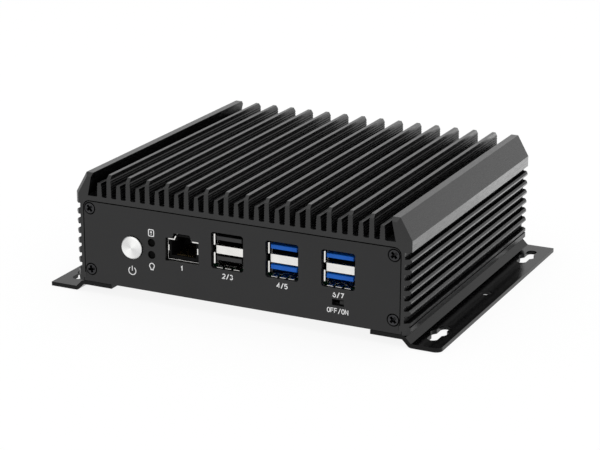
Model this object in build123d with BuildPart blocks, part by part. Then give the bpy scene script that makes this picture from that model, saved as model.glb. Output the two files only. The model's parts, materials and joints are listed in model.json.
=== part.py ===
from build123d import *
import math
import os

# Fanless industrial computer: a finned aluminium case that is open below and at both ends,
# two flush end panels, a bottom cover, two bent mounting brackets and the board inside.
# Millimetres. X is the width, Y runs from the front (negative) to the back, Z is up.
# The origin is under the middle of the object, on the plane that the brackets stand on.

# Driving dimensions of the case
case_width = 156.0
case_depth = 141.0
case_height = 49.0
deck_height = 39.0
end_chamfer = 1.6
side_wall = 5.6
deck_thickness = 4.0

# Corner rails beside the top fins
rail_top_outer = 5.3
rail_top_width = 3.3
rail_foot_inset = 6.5
rail_shoulder = 39.75
rail_strip = 4.7

# Top fins
fin_pitch = 9.38
tall_fin_count = 14
fin_root_thickness = 2.1
fin_tip_thickness = 1.6
short_fin_height = 6.2
ripple_pitch = 1.1
ripple_depth = 0.22
ripple_start = 0.6
tall_ripple_count = 7
short_ripple_count = 4
fin_root_ledge = 0.45

# Side fins
side_fin_count = 6
side_fin_pitch = 4.4
side_fin_thickness = 2.1
side_fin_reach = 2.5
side_fin_first = 8.15
side_fin_bevel = 0.7
foot_block_height = 5.1
foot_block_chamfer = 0.9
foot_groove_height = 3.1
foot_groove_width = 0.8
foot_groove_depth = 0.5

# Screws, and the rails inside the case whose eight-sided ports they cut their thread in
screw_radius = 1.5
screw_sides = 8
screw_head_radius = 2.8
screw_fit = 0.05
screw_sink_gap = 0.25
recess_radius = 1.7
recess_width = 0.55
recess_depth = 0.9
panel_screw_length = 9.0
screw_rail_width = 4.8
screw_rail_height = 7.5

# End panels
panel_thickness = 2.0
panel_gap = 0.15
panel_side_rim = 3.9
panel_height = 36.9
panel_corner = 3.2
panel_notch_width = 0.7
panel_notch_height = 3.9
panel_screw_inset = 7.15
panel_screw_low = 5.8
panel_screw_span = 27.5

# Bottom cover
cover_thickness = 1.5
cover_gap = 0.15
cover_ledge = 2.2

# Brackets
bracket_sheet = 1.8
bracket_joggle = 3.2
bracket_leg = 17.5
flange_reach = 13.5
web_inset = 2.7
bend_radius = 1.5
flange_corner = 3.0
keyhole_x = 6.1
keyhole_y = -57.7
keyhole_pitch = 107.4
keyhole_length = 11.0
keyhole_big_radius = 3.9
keyhole_small_radius = 2.4
middle_hole_radius = 2.7
bracket_screw_span = 90.0
bracket_screw_length = 5.4
bracket_port_depth = 2.4

# Mainboard and the grooves in the side walls that it slides into
board_top = 15.7
board_thickness = 1.6
board_side_gap = 0.3
board_end_gap = 2.6
groove_rib = 1.2
groove_reach = 1.8
groove_gap = 0.1
seat_gap = 0.05

# Stacked data ports on the front
stack_pitch = 25.4
stack_first_x = -4.4
stack_cutout_width = 14.9
stack_cutout_height = 15.9
stack_cutout_low = 15.45
stack_width = 13.2
stack_height = 14.8
stack_depth = 17.5
stack_recess = 2.0
stack_base_gap = 0.65
shell_sheet = 0.3
mouth_height = 5.12
mouth_spacing = 9.05
flare_length = 1.2
flare_growth = 0.55
bar_recess = 1.0
bar_overhang = 0.2
lip_width = 2.8
lip_pitch = 3.9
lip_growth = 0.4
lip_rise = 0.12
tongue_width = 11.1
tongue_thickness = 1.9
tongue_recess = 1.8
tongue_rise = 1.15
insert_fit = 0.03
contact_count = 4
contact_pitch = 2.3
contact_width = 1.0
contact_height = 0.15
contact_length = 7.0
contact_setback = 0.9
port_depth = 11.5

# Jacks for a flat modular plug: one on the front, two on the back
jack_width = 15.9
jack_height = 13.0
jack_depth = 18.0
jack_recess = 1.1
jack_mouth_width = 11.9
jack_mouth_height = 6.7
jack_mouth_low = 1.9
jack_latch_width = 6.2
jack_latch_height = 2.1
jack_plug_depth = 13.0
jack_face_inset = 0.4
jack_contact_count = 8
jack_contact_pitch = 1.02
jack_contact_width = 0.45
jack_contact_start = 3.0
jack_contact_rise = 2.1
jack_contact_thickness = 0.3
jack_cutout_gap = 0.15
jack_shoulder = 9.8
jack_notch_rise = 2.05
jack_notch_width = 7.7
jack_notch_slope = 1.2
jack_front_x = -25.95

# Power button
button_x = -50.0
button_z = 18.75
button_radius = 5.0
button_gap = 0.2
button_proud = 1.3
button_edge = 0.5
button_travel = 1.0
button_collar = 0.7
button_collar_thickness = 0.8
button_collar_play = 0.1
button_stem_width = 2.8
button_stem_length = 6.0
stem_fit = 0.08
switch_block_width = 9.0
switch_block_depth = 9.0

# Indicator lights
light_x = -40.6
light_radius = 1.5
light_hole_radius = 1.8
light_high = 22.15
light_low = 16.75
light_recess = 0.6
light_block_width = 5.2
light_block_depth = 5.0
light_block_lip = 1.0
light_block_wall = 1.1

# Slide switch under the board
slot_x = 46.45
slot_z = 9.3
slot_width = 5.2
slot_height = 2.35
slider_width = 1.8
slider_height = 1.5
slider_recess = 0.7
slider_travel = 3.0
slider_end_gap = 0.2
slider_foot_width = 3.4
slider_foot_height = 2.6
slider_foot_depth = 1.6
slider_fit = 0.12
slide_body_width = 11.0
slide_body_drop = 2.2
slide_body_depth = 7.0
slide_face_wall = 0.8

# Processor and the heat path into the case
chip_x = 4.0
chip_y = 6.0
chip_base = 32.0
chip_base_thickness = 1.2
chip_lid = 20.0
chip_lid_thickness = 1.6
pad_thickness = 1.0
block_width = 46.0
block_depth = 46.0

# Cards on the board
memory_x = -38.0
memory_y = 10.0
memory_card_width = 69.6
memory_card_depth = 30.0
memory_card_thickness = 1.2
card_socket_height = 5.2
card_socket_depth = 6.4
card_lift = 2.4
card_gap = 0.4
card_arm_width = 3.0
card_arm_length = 24.0
memory_chip_count = 4
memory_chip_pitch = 15.0
memory_chip_width = 12.0
memory_chip_length = 10.0
memory_chip_height = 1.0
chip_row_offset = 3.0
drive_x = 45.0
drive_y = -24.0
drive_width = 22.0
drive_length = 42.0
drive_thickness = 0.9
drive_chip_count = 2
drive_chip_pitch = 15.0
drive_chip_width = 16.0
drive_chip_length = 12.0

# Back connectors
inlet_x = 52.5
inlet_proud = 1.3
inlet_width = 9.0
inlet_height = 11.0
inlet_depth = 15.0
inlet_bore_radius = 3.2
inlet_bore_depth = 10.0
inlet_pin_recess = 2.0
inlet_pin_radius = 1.0
inlet_rise = 6.5
video_x = (36.0, 14.5)
video_width = 15.0
video_height = 5.6
video_depth = 11.0
video_foot = 1.6
video_mouth_gap = 0.5
video_slope = 1.6
video_recess = 0.4
video_mouth_depth = 7.5
video_tongue_recess = 1.2
video_tongue_width = 11.0
video_tongue_thickness = 1.1
rear_jack_x = (-6.0, -25.0)

# Places worked out from the driving dimensions
half_width = case_width / 2
half_depth = case_depth / 2
case_bottom = bracket_joggle + bracket_sheet
case_top = case_bottom + case_height
deck_z = case_bottom + deck_height
ceiling_z = deck_z - deck_thickness
cavity_half = half_width - side_wall
root_x = half_width - side_fin_reach
front_y = -half_depth
back_y = half_depth
inner_front_y = front_y + panel_thickness
board_z = case_bottom + board_top
board_under_z = board_z - board_thickness
cover_top = case_bottom + cover_thickness
cover_half = cavity_half + cover_ledge
panel_half = half_width - panel_side_rim
screw_x = half_width - panel_screw_inset
screw_low_z = case_bottom + panel_screw_low
screw_high_z = screw_low_z + panel_screw_span
stack_x = [stack_first_x + stack_pitch * k for k in range(3)]
stack_low_z = case_bottom + stack_cutout_low
stack_mid_z = stack_low_z + stack_cutout_height / 2
bracket_screw_spots = [
    (side * screw_x, turn * bracket_screw_span / 2) for side in (-1, 1) for turn in (-1, 1)
]
front_face = Plane.XZ.offset(-front_y)
back_face = Plane.XZ.offset(-back_y)
panel_screw_spots = [
    (side * screw_x, z) for side in (-1, 1) for z in (screw_low_z, screw_high_z)
]


def save(part, name):
    """Label one finished piece and write it under its own name."""
    part.label = name
    export_step(part, f"parts/{name}.step")


def ripples(half_root, half_tip, height, count):
    """Right-hand edge of a fin from root to tip, with small ridges on its lower part."""
    points = [(half_root + fin_root_ledge, 0), (half_root, fin_root_ledge)]
    for k in range(count):
        low = ripple_start + k * ripple_pitch
        for rise, out in ((0, 0), (ripple_pitch / 2, ripple_depth)):
            z = low + rise
            half = half_root + (half_tip - half_root) * z / height
            points.append((half + out, z))
    top = ripple_start + count * ripple_pitch
    points.append((half_root + (half_tip - half_root) * top / height, top))
    points.append((half_tip, height))
    return points


def fin_outline(x, height, count):
    """Closed outline of one top fin, standing on the deck at x and sunk a little into it."""
    right = ripples(fin_root_thickness / 2, fin_tip_thickness / 2, height, count)
    left = [(-px, pz) for px, pz in reversed(right)]
    sunk = deck_thickness / 2
    foot = [(left[-1][0], -sunk), (right[0][0], -sunk)]
    return [(x + px, deck_z + pz) for px, pz in right + left + foot]


def rail_outline(side):
    """Closed outline of one slanted corner rail with its upright strip below."""
    top_outer = half_width - rail_top_outer
    strip_top = case_bottom + rail_shoulder
    points = [
        (root_x - side_wall / 2, deck_z - deck_thickness),
        (half_width - rail_foot_inset, deck_z),
        (top_outer - rail_top_width, case_top),
        (top_outer, case_top),
        (half_width, strip_top),
        (half_width, strip_top - rail_strip),
        (root_x - side_wall / 2, strip_top - rail_strip),
    ]
    return [(side * px, pz) for px, pz in points]


def facing(x, side):
    """Plane on the front (-1) or back (1) end of the case, centred at x and facing out."""
    return Plane(origin=(x, side * half_depth, 0), z_dir=(0, side, 0), x_dir=(-side, 0, 0))


def lengthwise(x, side):
    """Upright plane at x whose first axis runs inwards from the front or back end."""
    return Plane(origin=(x, side * half_depth, 0), z_dir=(-side, 0, 0), x_dir=(0, -side, 0))


def screws(plane, spots, head_depth, length):
    """Countersunk cross-head screws with their heads flush in the plane."""
    taper = math.degrees(math.atan2(screw_head_radius - screw_radius, head_depth))
    with BuildPart() as group:
        with BuildSketch(plane):
            with Locations(*spots):
                Circle(screw_head_radius)
        extrude(amount=-head_depth, taper=taper)
        with BuildSketch(plane.offset(-head_depth)):
            with Locations(*spots):
                RegularPolygon(screw_radius, screw_sides)
        extrude(amount=-(length - head_depth))
        with BuildSketch(plane):
            with Locations(*spots):
                Rectangle(recess_radius * 2, recess_width)
                Rectangle(recess_width, recess_radius * 2)
        extrude(amount=-recess_depth, mode=Mode.SUBTRACT)
    return group.part


def sunk_holes(plane, spots, depth):
    """Cut conical holes for screw heads from the plane right through a sheet."""
    wide = screw_head_radius + screw_sink_gap
    narrow = screw_radius + screw_fit
    with BuildSketch(plane) as mouths:
        with Locations(*spots):
            Circle(wide)
    extrude(
        mouths.sketch,
        amount=-depth,
        taper=math.degrees(math.atan2(wide - narrow, depth)),
        mode=Mode.SUBTRACT,
    )


def panel_outline(gap):
    """Outline of an end panel: rounded above, with a small step in at each lower corner."""
    half = panel_half - gap
    top = case_bottom + panel_height - gap
    step = case_bottom + panel_notch_height
    lower_half = half - panel_notch_width
    with Locations((0, top - panel_corner)):
        RectangleRounded(half * 2, panel_corner * 2, panel_corner - 0.01)
    with Locations((0, (step + top - panel_corner) / 2)):
        Rectangle(half * 2, top - panel_corner - step)
    with Locations((0, (case_bottom + step) / 2)):
        Rectangle(lower_half * 2, step - case_bottom)


def jack_outline(gap):
    """Outline round a modular jack: a rectangle with a sloped step above for the latch."""
    half = jack_width / 2 + gap
    low = board_z - gap
    shoulder = board_z + jack_shoulder + gap
    top = shoulder + jack_notch_rise
    notch = jack_notch_width / 2 + gap
    slope = notch + jack_notch_slope
    Polygon(
        [
            (-half, low),
            (half, low),
            (half, shoulder),
            (slope, shoulder),
            (notch, top),
            (-notch, top),
            (-slope, shoulder),
            (-half, shoulder),
        ]
    )


# Finned case: one extruded section whose ends are chamfered all round the outside
with BuildPart() as heatsink_case:
    with BuildSketch(Plane.XZ):
        top_outer = half_width - rail_top_outer
        strip_top = case_bottom + rail_shoulder
        Polygon(
            [
                (-half_width, case_bottom),
                (half_width, case_bottom),
                (half_width, strip_top),
                (top_outer, case_top),
                (-top_outer, case_top),
                (-half_width, strip_top),
            ]
        )
    extrude(amount=half_depth, both=True)
    end_edges = heatsink_case.edges().filter_by(Axis.Y, reverse=True)
    chamfer(end_edges.filter_by(lambda e: e.center().Z > case_bottom + 1), end_chamfer)
    with BuildSketch(Plane.XZ):
        with Locations((0, (case_bottom + deck_z) / 2)):
            Rectangle(root_x * 2, deck_height)
        for side in (-1, 1):
            Polygon(rail_outline(side))
            for k in range(side_fin_count):
                low = case_bottom + side_fin_first + k * side_fin_pitch
                high = low + side_fin_thickness
                tip = half_width - side_fin_bevel
                Polygon(
                    [
                        (side * (root_x - side_wall / 2), low),
                        (side * tip, low),
                        (side * half_width, low + side_fin_bevel),
                        (side * half_width, high - side_fin_bevel),
                        (side * tip, high),
                        (side * (root_x - side_wall / 2), high),
                    ]
                )
            block_in = root_x - side_wall / 2
            block_top = case_bottom + foot_block_height
            Polygon(
                [
                    (side * block_in, case_bottom),
                    (side * (half_width - foot_block_chamfer), case_bottom),
                    (side * half_width, case_bottom + foot_block_chamfer),
                    (side * half_width, block_top),
                    (side * block_in, block_top),
                ]
            )
        for k in range(tall_fin_count):
            x = (k - (tall_fin_count - 1) / 2) * fin_pitch
            Polygon(fin_outline(x, case_top - deck_z, tall_ripple_count))
        for k in range(tall_fin_count + 1):
            x = (k - tall_fin_count / 2) * fin_pitch
            Polygon(fin_outline(x, short_fin_height, short_ripple_count))
        groove_z = case_bottom + foot_groove_height + foot_groove_width / 2
        for side in (-1, 1):
            with Locations((side * half_width, groove_z)):
                Rectangle(foot_groove_depth * 2, foot_groove_width, mode=Mode.SUBTRACT)
        # The hollow below the deck, with a seat for the bottom cover
        with Locations((0, (case_bottom + ceiling_z) / 2)):
            Rectangle(cavity_half * 2, ceiling_z - case_bottom, mode=Mode.SUBTRACT)
        with Locations((0, case_bottom + cover_thickness / 2)):
            Rectangle((cover_half + cover_gap) * 2, cover_thickness, mode=Mode.SUBTRACT)
        # Rails along the four inner corners, each with a screw port, and the board's grooves
        for side in (-1, 1):
            rail_x = side * (cavity_half - screw_rail_width / 2)
            with Locations((rail_x, cover_top + screw_rail_height / 2)):
                Rectangle(screw_rail_width, screw_rail_height)
            with Locations((rail_x, (screw_high_z - screw_rail_width + ceiling_z) / 2)):
                Rectangle(screw_rail_width, ceiling_z - screw_high_z + screw_rail_width)
            rib_x = side * (cavity_half - groove_reach / 2)
            low_rib_z = board_under_z - groove_rib / 2
            high_rib_z = board_z + groove_gap + groove_rib / 2
            with Locations((rib_x, low_rib_z), (rib_x, high_rib_z)):
                Rectangle(groove_reach, groove_rib)
        with Locations(*panel_screw_spots):
            RegularPolygon(
                screw_radius + screw_fit, screw_sides, major_radius=False, mode=Mode.SUBTRACT
            )
    extrude(amount=half_depth, both=True, mode=Mode.INTERSECT)
    # Seats for the two end panels
    with BuildSketch(front_face):
        panel_outline(0)
    extrude(amount=-panel_thickness, mode=Mode.SUBTRACT)
    with BuildSketch(back_face):
        panel_outline(0)
    extrude(amount=panel_thickness, mode=Mode.SUBTRACT)
    # Blind ports for the bracket screws in the lower rails
    with BuildSketch(Plane.XY.offset(cover_top)):
        with Locations(*bracket_screw_spots):
            RegularPolygon(screw_radius + screw_fit, screw_sides, major_radius=False)
    extrude(amount=bracket_port_depth, mode=Mode.SUBTRACT)

# Front panel: a plate that sits flush inside the front end of the case
with BuildPart() as front_panel:
    with BuildSketch(front_face):
        panel_outline(panel_gap)
        for x in stack_x:
            with Locations((x, stack_mid_z)):
                Rectangle(stack_cutout_width, stack_cutout_height, mode=Mode.SUBTRACT)
        with Locations((button_x, case_bottom + button_z)):
            Circle(button_radius + button_gap, mode=Mode.SUBTRACT)
        for rise in (light_low, light_high):
            with Locations((light_x, case_bottom + rise)):
                Circle(light_hole_radius, mode=Mode.SUBTRACT)
        with Locations((slot_x, case_bottom + slot_z)):
            Rectangle(slot_width, slot_height, mode=Mode.SUBTRACT)
    extrude(amount=-panel_thickness)
    with BuildSketch(facing(jack_front_x, -1)):
        jack_outline(jack_cutout_gap)
    extrude(amount=-panel_thickness, mode=Mode.SUBTRACT)
    sunk_holes(front_face, panel_screw_spots, panel_thickness)

front_panel_screws = screws(
    front_face, panel_screw_spots, panel_thickness, panel_screw_length
)

# Back panel: the same plate with the cut-outs of the back connectors
back_outward = facing(0, 1)
back_screw_spots = [(-x, z) for x, z in panel_screw_spots]
inlet_z = board_z + inlet_rise
video_z = board_z + video_foot + video_height / 2
with BuildPart() as back_panel:
    with BuildSketch(back_outward):
        panel_outline(panel_gap)
        with Locations((-inlet_x, board_z + inlet_height / 2)):
            Rectangle(
                inlet_width + 2 * jack_cutout_gap,
                inlet_height + 2 * jack_cutout_gap,
                mode=Mode.SUBTRACT,
            )
        for x in video_x:
            with Locations((-x, video_z)):
                Rectangle(
                    video_width + 2 * video_mouth_gap,
                    video_height + 2 * video_mouth_gap,
                    mode=Mode.SUBTRACT,
                )
    extrude(amount=-panel_thickness)
    for x in rear_jack_x:
        with BuildSketch(facing(x, 1)):
            jack_outline(jack_cutout_gap)
        extrude(amount=-panel_thickness, mode=Mode.SUBTRACT)
    sunk_holes(back_outward, back_screw_spots, panel_thickness)

back_panel_screws = screws(
    back_outward, back_screw_spots, panel_thickness, panel_screw_length
)

# Bottom cover: a flat sheet in the seat between the side walls
cover_front_y = inner_front_y + cover_gap
cover_back_y = -cover_front_y
with BuildPart() as bottom_cover:
    with BuildSketch(Plane.XY.offset(case_bottom)):
        Rectangle(cover_half * 2, cover_back_y - cover_front_y)
        with Locations(*bracket_screw_spots):
            RegularPolygon(
                screw_radius + screw_fit, screw_sides, major_radius=False, mode=Mode.SUBTRACT
            )
    extrude(amount=cover_thickness)


def bracket(side):
    """One bent bracket: a leg under the case, a sloped web and a flange with keyholes."""
    leg_x = half_width - bracket_leg
    flange_x = half_width + flange_reach
    mid_leg_z = bracket_joggle + bracket_sheet / 2
    mid_flange_z = bracket_sheet / 2
    web_high_x = half_width - web_inset
    web_low_x = web_high_x + mid_leg_z - mid_flange_z
    keyhole_line = side * (half_width + keyhole_x)
    spots = [(x, y) for x, y in bracket_face_spots if x * side < 0]
    with BuildPart() as sheet:
        with BuildSketch(Plane.XZ):
            with BuildLine():
                FilletPolyline(
                    (side * leg_x, mid_leg_z),
                    (side * web_high_x, mid_leg_z),
                    (side * web_low_x, mid_flange_z),
                    (side * flange_x, mid_flange_z),
                    radius=bend_radius,
                )
            trace(line_width=bracket_sheet)
        extrude(amount=half_depth, both=True)
        corners = sheet.edges().filter_by(Axis.Z)
        fillet(corners.filter_by(lambda e: abs(e.center().X) > flange_x - 1), flange_corner)
        with BuildSketch(Plane.XY):
            for wide_y in (keyhole_y, keyhole_y + keyhole_pitch):
                with Locations((keyhole_line, wide_y)):
                    Circle(keyhole_big_radius)
                with Locations((keyhole_line, wide_y + keyhole_length)):
                    Circle(keyhole_small_radius)
                with Locations((keyhole_line, wide_y + keyhole_length / 2)):
                    Rectangle(keyhole_small_radius * 2, keyhole_length)
            with Locations((keyhole_line, 0)):
                Circle(middle_hole_radius)
        extrude(amount=bracket_sheet, mode=Mode.SUBTRACT)
        sunk_holes(bracket_face, spots, bracket_sheet)
    return sheet.part


bracket_face = Plane(origin=(0, 0, bracket_joggle), z_dir=(0, 0, -1), x_dir=(-1, 0, 0))
bracket_face_spots = [(-x, y) for x, y in bracket_screw_spots]
left_bracket = bracket(-1)
right_bracket = bracket(1)
bracket_screws = screws(
    bracket_face, bracket_face_spots, bracket_sheet, bracket_screw_length
)

# Mainboard, which slides into the grooves of the side walls
board_front_d = panel_thickness + board_end_gap
board_half_depth = half_depth - board_front_d
board_half_width = cavity_half - board_side_gap
with BuildPart() as mainboard:
    with BuildSketch(Plane.XY.offset(board_under_z)):
        Rectangle(board_half_width * 2, board_half_depth * 2)
    extrude(amount=board_thickness)

# Power button: a cap with a collar behind the panel and a square stem into its switch
button_axis_z = case_bottom + button_z
collar_d = panel_thickness + button_collar_play
stem_d = collar_d + button_collar_thickness
with BuildPart() as power_button:
    with BuildSketch(facing(button_x, -1).offset(button_proud)):
        with Locations((0, button_axis_z)):
            Circle(button_radius)
    extrude(amount=-(button_proud + collar_d + button_collar_thickness / 2))
    chamfer(power_button.edges().sort_by(Axis.Y)[0], button_edge)
    with BuildSketch(facing(button_x, -1).offset(-collar_d)):
        with Locations((0, button_axis_z)):
            Circle(button_radius + button_collar)
    extrude(amount=-button_collar_thickness)
    with BuildSketch(facing(button_x, -1).offset(-stem_d)):
        with Locations((0, button_axis_z)):
            Rectangle(button_stem_width, button_stem_width)
    extrude(amount=-button_stem_length)

switch_front_d = board_front_d + seat_gap
stem_bore_d = stem_d + button_stem_length + button_travel + seat_gap - switch_front_d
with BuildPart() as power_button_switch:
    with BuildSketch(Plane.XY.offset(board_z)):
        with Locations((button_x, front_y + switch_front_d + switch_block_depth / 2)):
            Rectangle(switch_block_width, switch_block_depth)
    extrude(amount=button_axis_z + switch_block_width / 2 - board_z)
    with BuildSketch(facing(button_x, -1).offset(-switch_front_d)):
        with Locations((0, button_axis_z)):
            Rectangle(button_stem_width + 2 * stem_fit, button_stem_width + 2 * stem_fit)
    extrude(amount=-stem_bore_d, mode=Mode.SUBTRACT)

# Two indicator lights in a holder that hooks over the front edge of the board
holder_front_d = board_front_d - light_block_lip - seat_gap
light_end_d = holder_front_d + light_block_lip
holder_top_z = case_bottom + light_high + light_radius + light_block_wall
with BuildPart() as light_holder:
    with BuildSketch(lengthwise(light_x, -1)):
        Polygon(
            [
                (holder_front_d, board_under_z),
                (light_end_d, board_under_z),
                (light_end_d, board_z),
                (board_front_d + light_block_depth, board_z),
                (board_front_d + light_block_depth, holder_top_z),
                (holder_front_d, holder_top_z),
            ]
        )
    extrude(amount=light_block_width / 2, both=True)


def indicator_light(rise):
    """One round light pipe from behind the panel's face to the holder."""
    with BuildPart() as lens:
        with BuildSketch(facing(light_x, -1).offset(-light_recess)):
            with Locations((0, case_bottom + rise)):
                Circle(light_radius)
        extrude(amount=-(holder_front_d - light_recess))
    return lens.part


drive_light = indicator_light(light_high)
power_light = indicator_light(light_low)

# Slide switch: a knob with a foot that runs in a channel of a body under the board
slot_axis_z = case_bottom + slot_z
slide_front_d = panel_thickness + seat_gap
slide_low_z = slot_axis_z - slide_body_drop
knob_x = slot_x + slot_width / 2 - slider_end_gap - slider_width / 2
channel_d = slide_front_d + slide_face_wall
foot_d = channel_d + slider_fit
channel_depth = slider_foot_depth + 2 * slider_fit
channel_x = knob_x - slider_travel / 2
with BuildPart() as slide_switch_body:
    with BuildSketch(facing(slot_x, -1).offset(-slide_front_d)):
        with Locations((0, (slide_low_z + board_under_z) / 2)):
            Rectangle(slide_body_width, board_under_z - slide_low_z)
    extrude(amount=-slide_body_depth)
    with BuildSketch(facing(channel_x, -1).offset(-slide_front_d)):
        with Locations((0, slot_axis_z)):
            Rectangle(
                slider_width + slider_travel + 2 * slider_end_gap,
                slider_height + 2 * slider_fit,
            )
    extrude(amount=-slide_face_wall - slider_fit, mode=Mode.SUBTRACT)
    with BuildSketch(facing(channel_x, -1).offset(-channel_d)):
        with Locations((0, slot_axis_z)):
            Rectangle(
                slider_foot_width + slider_travel + 2 * slider_end_gap,
                slider_foot_height + 2 * slider_fit,
            )
    extrude(amount=-channel_depth, mode=Mode.SUBTRACT)

with BuildPart() as slide_switch_knob:
    with BuildSketch(facing(knob_x, -1).offset(-slider_recess)):
        with Locations((0, slot_axis_z)):
            Rectangle(slider_width, slider_height)
    extrude(amount=-(foot_d - slider_recess + slider_foot_depth / 2))
    with BuildSketch(facing(knob_x, -1).offset(-foot_d)):
        with Locations((0, slot_axis_z)):
            Rectangle(slider_foot_width, slider_foot_height)
    extrude(amount=-slider_foot_depth)


def board_box(grow):
    """Rectangle of a modular jack's body as seen from its end, its size grown all round."""
    with Locations((0, board_z + jack_height / 2)):
        Rectangle(jack_width + 2 * grow, jack_height + 2 * grow)


def modular_jack(x, side):
    """Shell, insert and contacts of one modular jack on the front or the back."""
    body_d = panel_thickness + seat_gap
    inner = shell_sheet + insert_fit
    with BuildPart() as shell:
        with BuildSketch(facing(x, side).offset(-jack_recess)):
            jack_outline(0)
        extrude(amount=-(body_d - jack_recess + shell_sheet))
        with BuildSketch(facing(x, side).offset(-body_d)):
            board_box(0)
        extrude(amount=-jack_depth)
        with BuildSketch(facing(x, side).offset(-jack_recess)):
            jack_outline(-shell_sheet)
        extrude(amount=-(body_d - jack_recess + shell_sheet), mode=Mode.SUBTRACT)
        with BuildSketch(facing(x, side).offset(-body_d - shell_sheet)):
            board_box(-shell_sheet)
        extrude(amount=-(jack_depth - 2 * shell_sheet), mode=Mode.SUBTRACT)
    with BuildPart() as insert:
        with BuildSketch(facing(x, side).offset(-jack_recess - jack_face_inset)):
            jack_outline(-inner)
        extrude(amount=-(body_d - jack_recess - jack_face_inset + 2 * inner))
        with BuildSketch(facing(x, side).offset(-body_d - inner)):
            board_box(-inner)
        extrude(amount=-(jack_depth - 2 * inner))
        with BuildSketch(facing(x, side).offset(-jack_recess)):
            mouth_z = board_z + jack_mouth_low + jack_mouth_height / 2
            with Locations((0, mouth_z)):
                Rectangle(jack_mouth_width, jack_mouth_height)
            with Locations((0, mouth_z + jack_latch_height / 2)):
                Rectangle(jack_latch_width, jack_mouth_height + jack_latch_height)
        extrude(amount=-jack_plug_depth, mode=Mode.SUBTRACT)
    floor_z = board_z + jack_mouth_low
    end_d = jack_recess + jack_plug_depth
    with BuildPart() as contacts:
        for k in range(jack_contact_count):
            offset = (k - (jack_contact_count - 1) / 2) * jack_contact_pitch
            with BuildSketch(lengthwise(x + offset, side)):
                Polygon(
                    [
                        (jack_contact_start, floor_z),
                        (end_d, floor_z + jack_contact_rise - jack_contact_thickness),
                        (end_d, floor_z + jack_contact_rise),
                        (jack_contact_start, floor_z + jack_contact_thickness),
                    ]
                )
            extrude(amount=jack_contact_width / 2, both=True)
    return shell.part, insert.part, contacts.part


com_jack_shell, com_jack_insert, com_jack_contacts = modular_jack(jack_front_x, -1)


def stack_port(x):
    """Shell, insert and contacts of one double-decker data port."""
    half = stack_width / 2
    low_z = board_z + stack_base_gap
    mid_z = low_z + stack_height / 2
    mouth_z = (mid_z - mouth_spacing / 2, mid_z + mouth_spacing / 2)
    bar_height = mouth_spacing - mouth_height
    bar_end_d = stack_recess + shell_sheet
    back_d = stack_recess + stack_depth
    lip_front_d = stack_recess - flare_length
    with BuildPart() as shell:
        with BuildSketch(facing(x, -1).offset(-stack_recess)):
            with Locations((0, mid_z)):
                Rectangle(stack_width, stack_height)
        extrude(amount=-stack_depth)
        with BuildSketch(facing(x, -1).offset(-stack_recess)):
            with Locations((0, mid_z)):
                Rectangle(stack_width - 2 * shell_sheet, stack_height - 2 * shell_sheet)
        extrude(amount=-(stack_depth - shell_sheet), mode=Mode.SUBTRACT)
        with BuildSketch(facing(x, -1).offset(-bar_recess)):
            with Locations((0, mid_z)):
                Rectangle(stack_width + 2 * bar_overhang, bar_height)
        extrude(amount=-(bar_end_d - bar_recess))
        for z in mouth_z:
            for turn in (-1, 1):
                with BuildSketch(Plane.XY.offset(z - mouth_height / 2)):
                    Polygon(
                        [
                            (x + turn * (half - shell_sheet), front_y + bar_end_d),
                            (x + turn * half, front_y + bar_end_d),
                            (x + turn * half, front_y + stack_recess),
                            (x + turn * (half + flare_growth), front_y + lip_front_d),
                            (x + turn * (half + flare_growth - shell_sheet), front_y + lip_front_d),
                            (x + turn * (half - shell_sheet), front_y + stack_recess),
                        ]
                    )
                extrude(amount=mouth_height)
        for turn, growth in ((-1, lip_growth), (1, lip_rise)):
            edge_z = mid_z + turn * stack_height / 2
            for k in (-1, 0, 1):
                with BuildSketch(lengthwise(x + k * lip_pitch, -1)):
                    Polygon(
                        [
                            (bar_end_d, edge_z - turn * shell_sheet),
                            (bar_end_d, edge_z),
                            (stack_recess, edge_z),
                            (lip_front_d, edge_z + turn * growth),
                            (lip_front_d, edge_z + turn * (growth - shell_sheet)),
                            (stack_recess, edge_z - turn * shell_sheet),
                        ]
                    )
                extrude(amount=lip_width / 2, both=True)
        # Side skirts carry the shell on the board
        with BuildSketch(Plane.XY.offset(board_z)):
            skirt_start = front_y + board_front_d
            skirt_end = front_y + back_d
            for turn in (-1, 1):
                with Locations(
                    (x + turn * (half - shell_sheet / 2), (skirt_start + skirt_end) / 2)
                ):
                    Rectangle(shell_sheet, skirt_end - skirt_start)
        extrude(amount=stack_base_gap + shell_sheet)
    room = shell_sheet + insert_fit
    core_width = stack_width - 2 * room
    core_back_d = back_d - room
    with BuildPart() as insert:
        with BuildSketch(facing(x, -1).offset(-stack_recess - port_depth)):
            with Locations((0, mid_z)):
                Rectangle(core_width, stack_height - 2 * room)
        extrude(amount=-(core_back_d - stack_recess - port_depth))
        with BuildSketch(facing(x, -1).offset(-bar_end_d - insert_fit)):
            with Locations((0, mid_z)):
                Rectangle(core_width, bar_height)
        extrude(amount=-(core_back_d - bar_end_d - insert_fit))
        with BuildSketch(facing(x, -1).offset(-tongue_recess)):
            with Locations(*[(0, z + tongue_rise) for z in mouth_z]):
                Rectangle(tongue_width, tongue_thickness)
        extrude(amount=-(core_back_d - tongue_recess))
    with BuildPart() as contacts:
        start = front_y + tongue_recess + contact_setback
        for z in mouth_z:
            under_z = z + tongue_rise - tongue_thickness / 2
            with BuildSketch(Plane.XY.offset(under_z)):
                with Locations((x, start + contact_length / 2)):
                    with GridLocations(contact_pitch, 0, contact_count, 1):
                        Rectangle(contact_width, contact_length)
            extrude(amount=-contact_height)
    return shell.part, insert.part, contacts.part


left_stack_shell, left_stack_insert, left_stack_contacts = stack_port(stack_x[0])
middle_stack_shell, middle_stack_insert, middle_stack_contacts = stack_port(stack_x[1])
right_stack_shell, right_stack_insert, right_stack_contacts = stack_port(stack_x[2])

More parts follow.
